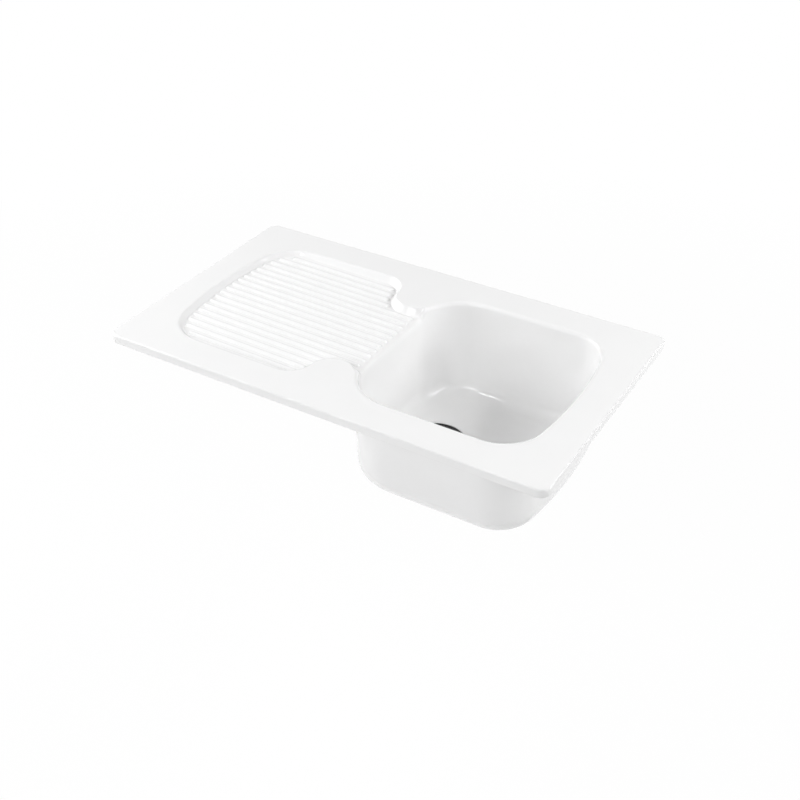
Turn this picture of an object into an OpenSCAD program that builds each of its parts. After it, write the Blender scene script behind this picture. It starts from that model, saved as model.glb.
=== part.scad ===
// Inset kitchen sink with one bowl and a ribbed drainer, moulded in one piece,
// and the basket strainer waste that closes its outlet.
// Millimetres. +X runs from the drainer to the bowl, +Y to the back, +Z up.
// z = 0 is the plane of the worktop that the rim rests on.

/* [Rim] */
// Length of the rim
rim_l = 860; // [840:5:960]
// Width of the rim from front to back
rim_w = 500; // [480:5:540]
// Height of the rim's edge above the worktop
rim_t = 16; // [14:1:20]
// Radius of the rim's corners in plan
rim_corner = 18; // [10:1:40]
// Radius of the rim's upper edge
rim_arris = 3; // [1.5:0.5:4]
// Width of the ledge that rests on the worktop
ledge_w = 24; // [20:1:26]
// Thickness of the moulded skin
skin_t = 9; // [7:0.5:10]

/* [Openings in plan] */
// Distance from the middle to each bowed end of the openings
open_end = 373; // [360:1:376]
// Half the width of the drainer and of the bowl
open_half = 188; // [175:1:192]
// Radius of the bowed ends
bow_r = 800; // [600:10:1200]
// Radius of the four outer corners
corner_r = 82; // [60:1:100]
// Distance from the middle to the tip of each nose
nose_gap = 108; // [100:1:120]
// Radius of each nose
nose_r = 40; // [32:1:46]
// Radius of the shoulder between drainer and nose
shoulder_r = 45; // [35:1:50]

/* [Drainer] */
// Depth of the drainer at its far end
drain_depth = 8.5; // [7:0.5:10]
// Fall of the drainer towards the bowl in degrees
drain_fall = 1; // [0.6:0.1:1.2]
// Run of the drainer's sloping wall
wall_run = 12; // [10:0.5:14]
// Number of ribs
rib_count = 19; // [9:2:19]
// Distance between ribs
rib_pitch = 18; // [16:0.5:18.5]
// Width of a rib at its foot
rib_w = 10; // [8:0.5:12]
// Height of a rib
rib_h = 3.5; // [2.5:0.25:4.5]

/* [Bowl] */
// Where the bowl's left edge lies, from the middle of the rim
bowl_left = 2; // [-10:1:20]
// Radius of the bowl's two corners beside the noses
bowl_r = 105; // [95:1:115]
// Depth of the bowl below the rim's top, at its left side
bowl_depth = 195; // [150:1:220]
// Draft of the bowl's walls in degrees
bowl_draft = 2; // [1:0.5:5]
// Radius of the bowl's upper edge
bowl_arris = 8; // [5:0.5:10]
// Radius between the bowl's walls and its floor
bowl_fillet = 30; // [20:1:45]
// Fall of the bowl's floor from its right side to its left
bowl_fall = 3; // [1:0.5:5]

/* [Outlet] */
// Distance from the bowl's left edge to the middle of the outlet
outlet_from_left = 101; // [101:1:180]
// Diameter of the outlet hole
outlet_d = 90; // [88:0.5:92]
// Depth of the seat round the outlet
seat_depth = 3; // [2:0.5:4]
// Thickness of the bowl's floor under the seat
outlet_t = 8; // [6:0.5:12]

/* [Strainer] */
// Diameter of the strainer's flange
flange_d = 110; // [106:1:112]
// Thickness of the flange and of the cup's floor
cup_t = 2; // [1.5:0.25:2.5]
// Inside diameter of the strainer's cup
cup_d = 82; // [80:0.5:83]
// Depth of the cup below the flange's seat
cup_depth = 33; // [31:0.5:40]
// Number of drain holes in the cup's floor
cup_holes = 10; // [6:1:12]
// Diameter of a drain hole
cup_hole_d = 9; // [6:0.5:10]
// Thickness of the gasket under the flange
gasket_t = 1.5; // [1:0.25:2]
// Thickness of the gasket under the bowl
lower_gasket_t = 3; // [2:0.25:4]

/* [Waste body] */
// Wall of the waste body
body_wall = 3; // [2.5:0.25:4]
// Height of the waste body's bell
bell_h = 36; // [35:1:50]
// Height of the cone below the bell
cone_h = 18; // [12:1:26]
// Diameter of the outlet's 1 1/2 inch pipe thread
tail_d = 47.8; // [46:0.1:49]
// Bore of the outlet
tail_bore = 40; // [36:0.5:41]
// Length of the outlet
tail_l = 42; // [30:1:50]
// Diameter of the clamp screw's shank
screw_d = 6; // [5:0.5:6]
// Length of the clamp screw's shank
screw_l = 22; // [18:0.5:24]
// Outside diameter of the overflow spigot
spigot_d = 24; // [20:0.5:25]
// Length of the overflow spigot beyond the bell
spigot_l = 16; // [12:1:20]

/* [Basket] */
// Diameter of the basket's rim
basket_d = 78; // [74:0.5:79]
// Height of the basket
basket_h = 26; // [22:0.5:27]
// Wall of the basket
basket_t = 1.2; // [1:0.1:1.6]
// Number of slots in the basket's wall
basket_slots = 24; // [12:1:30]
// Thickness of the rubber seal under the basket
seal_t = 5.5; // [4.5:0.25:6]
// Diameter of the stem
stem_d = 6; // [5:0.5:7]
// Diameter of the knob
knob_d = 24; // [20:1:28]
// Height of the knob
knob_h = 11; // [9:0.5:14]
// How far the knob stands above the strainer's flange
knob_rise = 3; // [0:0.5:8]

/* [Fixings and sealing strip] */
// Distance between the two outer fixing points on a long side
fix_outer = 660; // [600:10:680]
// Distance between the two inner fixing points on a long side
fix_inner = 220; // [160:10:300]
// Distance between the fixing points on a short side
fix_end = 140; // [80:5:200]
// Diameter of a fixing boss
boss_d = 16; // [14:0.5:18]
// Outside diameter of a threaded insert
insert_d = 7; // [6:0.25:8]
// Core diameter of its M5 thread
thread_d = 4.2; // [4:0.1:4.4]
// Length of an insert
insert_l = 9; // [7:0.5:10]
// Width of the rim's sealing strip
strip_w = 6; // [4:0.5:8]
// Thickness of the sealing strip
strip_t = 2.5; // [2:0.25:4]
// Distance from the rim's edge to the strip
strip_edge = 7; // [5:0.5:10]

/* [Hidden] */

// Fineness of round shapes
$fa = 6;
$fs = 0.5;

// Running clearance between pieces that slide or turn in each other, on the radius
slip = 0.05;
// Gap that a moving piece keeps from what it rests on
rest_gap = 0.3;
// Room for the sealing strip on each side of its groove
strip_gap = 0.1;
// Gap between a fixing boss and the ledge
boss_gap = 2;
// How far a cutting tool runs past the face that it cuts
over = 1;
// Largest angle between two points of an arc
arc_step = 9;
// Step of an angle along a rounded edge
edge_step = 22.5;
// Step of an angle along a rib's round end
bar_step = 18;

// Plan of the openings, back half only, walked from +X to -X.
// An arc is [centre x, centre y, radius, first angle, last angle];
// a negative radius is an arc that bulges into the opening.
bow_x = open_end - bow_r;
corner_y = open_half - corner_r;
bow_a = asin(corner_y / (bow_r - corner_r));
corner_x = bow_x + (bow_r - corner_r) * cos(bow_a);
bowl_cx = bowl_left + bowl_r;
bowl_cy = open_half - bowl_r;
nose_y = nose_gap + nose_r;
nose_x = bowl_cx - sqrt(pow(bowl_r + nose_r, 2) - pow(nose_y - bowl_cy, 2));
shoulder_y = open_half - shoulder_r;
shoulder_x = nose_x - sqrt(pow(shoulder_r + nose_r, 2) - pow(nose_y - shoulder_y, 2));
flank_a = atan2(bowl_cy - nose_y, bowl_cx - nose_x);
flank_y = nose_y + nose_r * sin(flank_a);
shoulder_a = atan2(nose_y - shoulder_y, nose_x - shoulder_x);
bowl_plan = [
    [bow_x, 0, bow_r, bow_a / 3, bow_a],
    [corner_x, corner_y, corner_r, bow_a, 90],
    [bowl_cx, bowl_cy, bowl_r, 90, 180]];
drain_plan = [
    [nose_x, nose_y, -nose_r, flank_a, shoulder_a - 180],
    [shoulder_x, shoulder_y, shoulder_r, shoulder_a, 90],
    [-corner_x, corner_y, corner_r, 90, 180 - bow_a],
    [-bow_x, 0, bow_r, 180 - bow_a, 180 - bow_a / 3]];
function rect_plan(l, w, r) = [
    [l / 2 - r, w / 2 - r, r, 0, 90],
    [r - l / 2, w / 2 - r, r, 90, 180]];
rim_plan = rect_plan(rim_l, rim_w, rim_corner);
pocket_plan = rect_plan(rim_l - 2 * ledge_w, rim_w - 2 * ledge_w, rim_corner);

// Heights of the basin
floor_z = rim_t - bowl_depth;
seat_z = floor_z - seat_depth;
under_z = seat_z - outlet_t;
outlet_x = bowl_left + outlet_from_left;
seat_r = flange_d / 2 + 1;

// Heights and radii of the strainer and the waste body
flange_z = seat_z + gasket_t;
flange_top = flange_z + cup_t;
cup_r = cup_d / 2 + cup_t;
cup_bottom = seat_z - cup_depth;
cup_floor = cup_bottom + cup_t;
bell_r = outlet_d / 2 + 1.5;
bell_top = under_z - lower_gasket_t;
clamp_r = flange_d / 2 + 4;
clamp_t = 4;
bell_bottom = bell_top - bell_h;
tail_top = bell_bottom - cone_h;
tail_end = tail_top - tail_l;
hub_r = 8;
hub_top = cup_bottom - 2;
hub_h = 20;
spoke_h = 10;
spoke_z = bell_bottom + 1;
hub_insert_l = 14;
hub_insert_r = screw_d / 2 + 1.8;
washer_t = 1;
head_z = cup_floor + washer_t;
head_h = 8;
head_r = 8;
grip_r = 4;
socket_r = grip_r + 2 * slip;
socket_depth = 7;
spigot_z = bell_top - clamp_t - spigot_d / 2 - 5;
spigot_wall = 3;
spigot_end = bell_r + body_wall + spigot_l;
spigot_washer_t = 2;
cap_t = 3;
cap_l = 11;

// Heights and radii of the basket
seal_z = cup_floor + rest_gap;
seal_r = basket_d / 2 - 5.5;
basket_z = seal_z + seal_t;
basket_foot_r = seal_r + 0.5;
riser_r = 12;
riser_top = head_z + head_h + 5;
retainer_r = 20;
retainer_t = 1.5;
retainer_z = seal_z + rest_gap;
plug_z = head_z + head_h + rest_gap;
plug_top = riser_top - basket_t - rest_gap;
plug_r = 6.5;
groove_z = plug_z - 3;
groove_h = 1.5;
groove_d = 0.9;
grip_l = 6.5;
slot_w = 3;
slot_foot = 4;
slot_head = 6;
collar_z = riser_top + rest_gap;
collar_t = 2;
collar_r = 5;
knob_top = flange_top + knob_rise;
knob_z = knob_top - knob_h;
stem_top = knob_top - 3;
stem_end = plug_z + 0.5;

function arc_points(arc, inset) =
    let (steps = max(2, ceil(abs(arc[4] - arc[3]) / arc_step)))
    [for (i = [0 : steps])
        let (a = arc[3] + (arc[4] - arc[3]) * i / steps)
        [arc[0] + abs(arc[2] - inset) * cos(a), arc[1] + abs(arc[2] - inset) * sin(a)]];

// The back half of an outline, moved inwards by inset, each point once
function half_outline(plan, inset) =
    let (p = [for (arc = plan) each arc_points(arc, inset)])
    [for (i = [0 : len(p) - 1]) if (i == 0 || norm(p[i] - p[i - 1]) > 0.01) p[i]];

// The whole outline: the back half and its mirror image
function whole(half) =
    concat(half, [for (i = [len(half) - 1 : -1 : 0]) [half[i].x, -half[i].y]]);
function outline(plan, inset) = whole(half_outline(plan, inset));
function level(points, z) = [for (p = points) [p.x, p.y, z]];

// A solid through rings of points, the lowest ring first.
// Each ring is symmetric about the X axis, and the two end rings are flat.
module loft(rings) {
    n = len(rings[0]);
    m = len(rings);
    half = n / 2;
    top = (m - 1) * n;
    polyhedron(
        points = [for (ring = rings) each ring],
        faces = [
            for (i = [0 : half - 2]) each [
                [i, i + 1, n - 2 - i],
                [i, n - 2 - i, n - 1 - i],
                [top + i, top + n - 2 - i, top + i + 1],
                [top + i, top + n - 1 - i, top + n - 2 - i]],
            for (k = [0 : m - 2], i = [0 : n - 1])
                let (a = k * n + i, b = k * n + (i + 1) % n)
                each [[a, a + n, b + n], [a, b + n, b]]],
        convexity = 8);
}

// Depth of the drainer's floor below the rim's top
function drain_drop(x) =
    drain_depth + (min(x, bowl_left) + open_end - wall_run) * tan(drain_fall);

// Share of the full depth at a distance inside the drainer's outline: a smooth S
function ramp(inset) = (1 - cos(180 * min(max(inset / wall_run, 0), 1))) / 2;

// How far the bowl's edge lies below the rim's top: nothing at the rim itself,
// and the drainer's depth on the weir between the noses
function weir_drop(p) =
    p.x < bowl_cx && abs(p.y) < flank_y
    ? drain_drop(p.x) * ramp(norm([p.x - nose_x, abs(p.y) - nose_y]) - nose_r)
    : 0;

// Profile of the bowl as [inset, drop below the rim's top]
wall_top = [bowl_arris * cos(bowl_draft), bowl_arris * (1 - sin(bowl_draft))];
wall_foot_drop = bowl_depth - bowl_fillet * (1 - sin(bowl_draft));
wall_foot = wall_top.x + (wall_foot_drop - wall_top.y) * tan(bowl_draft);
fillet_c = [wall_foot + bowl_fillet * cos(bowl_draft), bowl_depth - bowl_fillet];
function fillet_point(r, a) = [fillet_c.x - r * cos(a), fillet_c.y + r * sin(a)];

// Rise of the bowl's floor to the right
function floor_rise(x) = bowl_fall * (x - bowl_left) / (open_end - bowl_left);

function fillet_ring(r, a) =
    let (q = fillet_point(r, a))
    [for (p = outline(bowl_plan, q.x)) [p.x, p.y, rim_t - q.y + floor_rise(p.x) * sin(a)]];
function arris_ring(a) =
    let (edge = outline(bowl_plan, 0), in = outline(bowl_plan, bowl_arris * sin(a)))
    [for (i = [0 : len(edge) - 1])
        [in[i].x, in[i].y, rim_t - weir_drop(edge[i]) - bowl_arris * (1 - cos(a))]];

module bowl_space() {
    loft([
        for (a = [90 : -edge_step / 2 : bowl_draft]) fillet_ring(bowl_fillet, a),
        fillet_ring(bowl_fillet, bowl_draft),
        arris_ring(90 - bowl_draft),
        for (a = [90 - edge_step : -edge_step : 0]) arris_ring(a),
        level(outline(bowl_plan, 0), rim_t + over)]);
}

module bowl_shell() {
    land_drop = skin_t - over;
    land_inset = wall_top.x - skin_t / cos(bowl_draft)
        + (land_drop - wall_top.y) * tan(bowl_draft);
    loft([
        for (a = [90 : -edge_step / 2 : bowl_draft])
            fillet_ring(bowl_fillet + skin_t, a),
        level(outline(bowl_plan, land_inset), rim_t - land_drop)]);
}

// A ring of the drainer's hollow: the plan, closed inside the bowl
function drain_ring(inset, share) =
    let (half = concat([[bowl_cx - bowl_r / 2, bowl_cy]], half_outline(drain_plan, inset)))
    [for (p = whole(half)) [p.x, p.y, rim_t - share * drain_drop(p.x)]];

module drain_space() {
    loft([
        for (k = [6 : -1 : 0]) drain_ring(wall_run * k / 6, ramp(wall_run * k / 6)),
        [for (p = drain_ring(0, 0)) [p.x, p.y, rim_t + over]]]);
}

module drain_shell() {
    lower = drain_ring(wall_run / 2, 1);
    loft([
        [for (p = lower) [p.x, p.y, p.z - skin_t]],
        level(drain_ring(-skin_t / 2, 0), rim_t - skin_t + over)]);
}

// Ends of a rib at height y in the plan, clear of the drainer's sloping wall
function rib_left(y, d) =
    abs(y) < corner_y + (corner_r - d) * sin(bow_a)
    ? -bow_x - sqrt(pow(bow_r - d, 2) - y * y)
    : -corner_x - sqrt(pow(corner_r - d, 2) - pow(abs(y) - corner_y, 2));
function rib_right(y, d) =
    abs(y) < nose_gap - d
    ? bowl_left - 2
    : abs(y) < shoulder_y + (shoulder_r - d) * sin(shoulder_a)
        ? nose_x - sqrt(pow(nose_r + d, 2) - pow(nose_y - abs(y), 2))
        : shoulder_x + sqrt(pow(shoulder_r - d, 2) - pow(abs(y) - shoulder_y, 2));

// A bar with round ends, of radius r, whose axis runs up from z = 0 to z = l
module round_bar(r, l) {
    rotate_extrude()
        polygon([
            for (a = [-90 : bar_step : 0]) [r * cos(a), r * sin(a)],
            for (a = [0 : bar_step : 90]) [r * cos(a), l + r * sin(a)]]);
}

// The ribs follow the fall of the drainer's floor, and each is the top of a round bar
module ribs() {
    r = (rib_h * rib_h + rib_w * rib_w / 4) / (2 * rib_h);
    clear = wall_run + 1;
    for (k = [0 : rib_count - 1]) {
        y = (k - (rib_count - 1) / 2) * rib_pitch;
        x0 = rib_left(y, clear) + rib_w / 2;
        x1 = rib_right(y, clear) - rib_w / 2;
        translate([x0, y, rim_t - drain_drop(x0) + rib_h - r])
            rotate([0, 90 + drain_fall, 0])
                round_bar(r, (x1 - x0) / cos(drain_fall));
    }
}

// Where the fixing points are: four outer, four inner and four at the ends
fix_y = rim_w / 2 - ledge_w - boss_d / 2 - boss_gap;
fix_x = rim_l / 2 - ledge_w - boss_d / 2 - boss_gap;
fix_points = [
    for (sx = [-1, 1], sy = [-1, 1]) each [
        [sx * fix_outer / 2, sy * fix_y],
        [sx * fix_inner / 2, sy * fix_y],
        [sx * fix_x, sy * fix_end / 2]]];

module rim_plate() {
    difference() {
        loft([
            level(outline(rim_plan, 0), 0),
            for (a = [0 : edge_step : 90])
                level(outline(rim_plan, rim_arris * (1 - cos(a))),
                    rim_t - rim_arris * (1 - sin(a)))]);
        translate([0, 0, -over])
            linear_extrude(rim_t - skin_t + over)
                polygon(outline(pocket_plan, 0));
    }
}

module insert_holes() {
    for (p = fix_points)
        translate([p.x, p.y, -over]) cylinder(d = insert_d, h = insert_l + over);
}

// Where the sealing strip lies in its groove, as a flat ring
strip_inner = strip_edge + strip_w;
module strip_ring(clear) {
    difference() {
        polygon(outline(rect_plan(
            rim_l - 2 * (strip_edge - clear), rim_w - 2 * (strip_edge - clear), rim_corner), 0));
        polygon(outline(rect_plan(
            rim_l - 2 * (strip_inner + clear), rim_w - 2 * (strip_inner + clear), rim_corner), 0));
    }
}

module basin() {
    color("white") {
        difference() {
            union() {
                rim_plate();
                drain_shell();
                bowl_shell();
                translate([outlet_x, 0, under_z])
                    cylinder(r = clamp_r, h = floor_z - under_z);
                for (p = fix_points)
                    translate([p.x, p.y, 0]) cylinder(d = boss_d, h = rim_t - over);
            }
            drain_space();
            bowl_space();
            translate([outlet_x, 0, seat_z])
                cylinder(r = seat_r, h = seat_depth + bowl_fall + over);
            translate([outlet_x, 0, under_z - over])
                cylinder(d = outlet_d, h = seat_z - under_z + 2 * over);
            insert_holes();
            translate([0, 0, -over]) linear_extrude(strip_t + over) strip_ring(strip_gap);
        }
        ribs();
    }
}

module rim_seal() {
    color("dimgray") linear_extrude(strip_t) strip_ring(0);
}

module fixing_inserts() {
    color("goldenrod")
        for (p = fix_points)
            translate([p.x, p.y, 0])
                difference() {
                    cylinder(r = insert_d / 2 - slip, h = insert_l);
                    translate([0, 0, -over]) cylinder(d = thread_d, h = insert_l + 2 * over);
                }
}

// A flat ring whose lower face is at z
module washer(z, outer, inner, t) {
    translate([0, 0, z])
        difference() {
            cylinder(r = outer, h = t);
            translate([0, 0, -over]) cylinder(r = inner, h = t + 2 * over);
        }
}

module upper_gasket() {
    color("dimgray") translate([outlet_x, 0, 0])
        washer(seat_z, flange_d / 2 - 1, outlet_d / 2 + 1, gasket_t);
}

module strainer_cup() {
    color("black") translate([outlet_x, 0, 0])
        difference() {
            union() {
                translate([0, 0, cup_bottom]) cylinder(r = cup_r, h = flange_top - cup_bottom);
                translate([0, 0, flange_z]) cylinder(d = flange_d, h = cup_t);
            }
            translate([0, 0, cup_floor]) cylinder(d = cup_d, h = flange_top - cup_floor + over);
            translate([0, 0, cup_bottom - over])
                cylinder(r = screw_d / 2 + rest_gap, h = cup_t + 2 * over);
            for (k = [0 : cup_holes - 1])
                rotate(k * 360 / cup_holes)
                    translate([cup_d / 4 + 2, 0, cup_bottom - over])
                        cylinder(d = cup_hole_d, h = cup_t + 2 * over);
        }
}

module lower_gasket() {
    color("dimgray") translate([outlet_x, 0, 0])
        washer(bell_top, clamp_r - 1, bell_r, lower_gasket_t);
}

module waste_body() {
    color("black") translate([outlet_x, 0, 0]) {
        difference() {
            union() {
                translate([0, 0, bell_top - clamp_t]) cylinder(r = clamp_r, h = clamp_t);
                translate([0, 0, bell_bottom]) cylinder(r = bell_r + body_wall, h = bell_h);
                translate([0, 0, tail_top])
                    cylinder(r1 = tail_d / 2, r2 = bell_r + body_wall, h = cone_h);
                translate([0, 0, tail_end]) cylinder(d = tail_d, h = tail_l);
                translate([0, 0, spigot_z]) rotate([-90, 0, 0])
                    cylinder(d = spigot_d, h = spigot_end);
            }
            translate([0, 0, bell_bottom]) cylinder(r = bell_r, h = bell_h + over);
            translate([0, 0, tail_top])
                cylinder(r1 = tail_bore / 2, r2 = bell_r, h = cone_h);
            translate([0, 0, tail_end - over]) cylinder(d = tail_bore, h = tail_l + 2 * over);
            translate([0, 0, spigot_z]) rotate([-90, 0, 0])
                cylinder(r = spigot_d / 2 - spigot_wall, h = spigot_end + over);
        }
        difference() {
            union() {
                translate([0, 0, hub_top - hub_h]) cylinder(r = hub_r, h = hub_h);
                for (a = [45, 135])
                    rotate(a)
                        translate([-bell_r - over, -body_wall / 2, spoke_z])
                            cube([2 * (bell_r + over), body_wall, spoke_h]);
            }
            translate([0, 0, hub_top - hub_insert_l])
                cylinder(r = hub_insert_r, h = hub_insert_l + over);
            translate([0, 0, hub_top - hub_h - over])
                cylinder(r = screw_d / 2 + rest_gap, h = hub_h);
        }
    }
}

module hub_insert() {
    color("goldenrod") translate([outlet_x, 0, 0])
        washer(hub_top - hub_insert_l, hub_insert_r - slip, screw_d / 2 + slip, hub_insert_l);
}

module screw_washer() {
    color("silver") translate([outlet_x, 0, 0])
        washer(cup_floor, head_r - 0.5, screw_d / 2 + slip, washer_t);
}

module clamp_screw() {
    color("silver") translate([outlet_x, 0, 0])
        difference() {
            union() {
                translate([0, 0, head_z]) cylinder(r = head_r, h = head_h);
                translate([0, 0, head_z - screw_l]) cylinder(d = screw_d, h = screw_l);
            }
            translate([0, 0, head_z + head_h - socket_depth])
                cylinder(r = socket_r, h = socket_depth + over);
            translate([-head_r - over, -1, head_z + head_h - 2])
                cube([2 * (head_r + over), 2, 2 + over]);
        }
}

// What closes the unused overflow spigot, drawn along the spigot's axis
module on_spigot() {
    translate([outlet_x, 0, spigot_z]) rotate([-90, 0, 0]) children();
}

module spigot_washer() {
    color("dimgray") on_spigot()
        washer(spigot_end, spigot_d / 2 - slip, spigot_d / 2 - spigot_wall, spigot_washer_t);
}

module spigot_cap() {
    closed = spigot_end + spigot_washer_t;
    color("black") on_spigot()
        difference() {
            translate([0, 0, closed - cap_l]) cylinder(r = spigot_d / 2 + cap_t, h = cap_l + cap_t);
            translate([0, 0, closed - cap_l - over])
                cylinder(r = spigot_d / 2 + slip, h = cap_l + over);
            for (k = [0 : 11])
                rotate(30 * k)
                    translate([spigot_d / 2 + cap_t, 0, closed - cap_l + 2])
                        cylinder(r = 1, h = cap_l + cap_t);
        }
}

module basket() {
    rim_r = basket_d / 2;
    color("black") translate([outlet_x, 0, 0])
        difference() {
            rotate_extrude()
                polygon([
                    [riser_r, retainer_z], [riser_r, basket_z], [basket_foot_r, basket_z],
                    [rim_r, basket_z + basket_h - basket_t], [rim_r + 1, basket_z + basket_h - basket_t],
                    [rim_r + 1, basket_z + basket_h], [rim_r - basket_t, basket_z + basket_h],
                    [basket_foot_r - basket_t, basket_z + basket_t], [riser_r, basket_z + basket_t],
                    [riser_r, riser_top], [stem_d / 2 + slip, riser_top],
                    [stem_d / 2 + slip, riser_top - basket_t], [riser_r - basket_t, riser_top - basket_t],
                    [riser_r - basket_t, retainer_z]]);
            for (k = [0 : basket_slots - 1])
                rotate(k * 360 / basket_slots)
                    translate([basket_foot_r - 3 * basket_t, -slot_w / 2, basket_z + slot_foot])
                        cube([rim_r, slot_w, basket_h - slot_foot - slot_head]);
        }
}

module basket_seal() {
    color("dimgray") translate([outlet_x, 0, 0])
        rotate_extrude()
            polygon([
                [riser_r + slip, retainer_z + retainer_t], [retainer_r + slip, retainer_z + retainer_t],
                [retainer_r + slip, seal_z + 1], [seal_r - 1.5, seal_z], [seal_r, seal_z + 1],
                [seal_r, basket_z], [riser_r + slip, basket_z]]);
}

module seal_retainer() {
    color("silver") translate([outlet_x, 0, 0])
        washer(retainer_z, retainer_r, riser_r + slip, retainer_t);
}

module basket_stem() {
    color("silver") translate([outlet_x, 0, 0]) {
        translate([0, 0, stem_end]) cylinder(d = stem_d, h = stem_top - stem_end);
        translate([0, 0, collar_z]) cylinder(r = collar_r, h = collar_t);
    }
}

module basket_knob() {
    color("black") translate([outlet_x, 0, 0])
        difference() {
            rotate_extrude()
                polygon([
                    [0, knob_z], [collar_r, knob_z], [collar_r + 1, knob_z + knob_h / 2],
                    [knob_d / 2, knob_top - 3], [knob_d / 2, knob_top - 1.5],
                    [knob_d / 2 - 1.5, knob_top], [0, knob_top]]);
            translate([0, 0, knob_z - over])
                cylinder(d = stem_d + 2 * slip, h = stem_top - knob_z + over);
        }
}

module stem_plug() {
    color("silver") translate([outlet_x, 0, 0])
        difference() {
            union() {
                translate([0, 0, plug_z]) cylinder(r = plug_r, h = plug_top - plug_z);
                translate([0, 0, plug_z - grip_l]) cylinder(r = grip_r, h = grip_l + over);
            }
            translate([0, 0, stem_end])
                cylinder(d = stem_d + 2 * slip, h = plug_top - stem_end + over);
            washer(groove_z, grip_r + over, grip_r - groove_d, groove_h);
        }
}

module grip_ring() {
    color("silver") translate([outlet_x, 0, 0])
        translate([0, 0, groove_z + slip])
            rotate_extrude(angle = 330)
                translate([grip_r - groove_d + slip, 0])
                    square([groove_d, groove_h - 2 * slip]);
}

basin();
rim_seal();
fixing_inserts();
upper_gasket();
strainer_cup();
lower_gasket();
waste_body();
hub_insert();
screw_washer();
clamp_screw();
spigot_washer();
spigot_cap();
basket();
basket_seal();
seal_retainer();
basket_stem();
basket_knob();
stem_plug();
grip_ring();
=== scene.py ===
# %% [markdown]
# # A white kitchen sink with a ribbed drainer
#
# The real object is an inset sink, moulded in one piece from resin filled with
# fine mineral. A shallow drainer with nineteen ribs runs into a deep bowl, and a
# black strainer waste hangs under the bowl's outlet. The working parts come from
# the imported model, which fixes every size and place. This lesson dresses them:
# it makes the moulding again as one smooth surface, rounds the turned and
# moulded pieces of the waste, and gives each surface its material.

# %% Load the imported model
import math

import bpy
import bmesh
import numpy as np
from mathutils import Matrix, Vector
from mathutils.geometry import delaunay_2d_cdt


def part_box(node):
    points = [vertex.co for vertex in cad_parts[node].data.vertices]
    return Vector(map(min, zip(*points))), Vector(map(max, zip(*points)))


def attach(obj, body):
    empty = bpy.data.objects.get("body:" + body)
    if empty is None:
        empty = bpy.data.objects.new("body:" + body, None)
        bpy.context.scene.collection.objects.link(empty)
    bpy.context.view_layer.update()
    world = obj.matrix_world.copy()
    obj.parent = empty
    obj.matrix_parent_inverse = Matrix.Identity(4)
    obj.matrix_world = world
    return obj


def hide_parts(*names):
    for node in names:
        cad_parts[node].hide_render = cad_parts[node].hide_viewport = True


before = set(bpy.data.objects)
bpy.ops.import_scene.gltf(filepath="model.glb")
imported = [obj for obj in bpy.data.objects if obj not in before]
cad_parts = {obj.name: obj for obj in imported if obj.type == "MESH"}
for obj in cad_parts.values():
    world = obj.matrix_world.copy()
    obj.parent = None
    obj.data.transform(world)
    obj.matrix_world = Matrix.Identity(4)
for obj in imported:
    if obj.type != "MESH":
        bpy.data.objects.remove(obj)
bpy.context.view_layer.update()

# %% [markdown]
# ## The camera
#
# A photograph of a long box shows its camera: the lines along the rim meet in
# two vanishing points, and these give the lens and the turn. Working in
# millimetres and then scaling once to metres keeps the numbers readable, so
# every shape below is written in millimetres.

# %% Place the camera
MM = 0.001
CAMERA_PLACE = (931.5, -1501.4, 1126.2)
CAMERA_TURN = 31.066
CAMERA_TILT = 35.295
SENSOR = 36.0
FOCAL_PIXELS = 1173.06
PICTURE_PIXELS = 800

camera_data = bpy.data.cameras.new("camera")
camera_data.sensor_width = SENSOR
camera_data.lens = FOCAL_PIXELS * SENSOR / PICTURE_PIXELS
camera_data.clip_end = 30
camera = bpy.data.objects.new("camera", camera_data)
camera.location = [v * MM for v in CAMERA_PLACE]
camera.rotation_euler = (math.radians(90 - CAMERA_TILT), 0, math.radians(CAMERA_TURN))
bpy.context.scene.collection.objects.link(camera)
bpy.context.scene.camera = camera
print("lens in mm:", round(camera_data.lens, 2))

# %% [markdown]
# ## The plan of the moulding
#
# Seen from above, the hollows are chains of arcs: long bowed ends, round
# corners, and between drainer and bowl two noses that bulge inwards. Each arc is
# kept as its centre, radius, first and last angle and number of steps. Moving
# the whole chain inwards by a distance only changes the radii, so curves at
# different distances have the same number of points, and a surface can be
# stretched from one to the next. Only the back half is written; the front is
# its mirror image.

# %% The driving sizes, in millimetres
basin_low, basin_high = (np.array(corner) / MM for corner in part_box("basin"))
RIM_L, RIM_W = (basin_high - basin_low)[:2]
TOP = basin_high[2]
UNDER = basin_low[2]
RIM_CORNER = 18
RIM_ARRIS = 3
LEDGE = 24
SKIN = 9
OPEN_END = 373
OPEN_HALF = 188
BOW_R = 800
CORNER_R = 82
NOSE_GAP = 108
NOSE_R = 40
SHOULDER_R = 45
BOWL_LEFT = 2
BOWL_R = 105
# The bowl's round corner has finer steps beyond this angle, where the straight weir starts
WEIR_TURN = 171
print("rim", round(RIM_L, 2), "x", round(RIM_W, 2), "top", round(TOP, 2), "underside", round(UNDER, 2))

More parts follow.
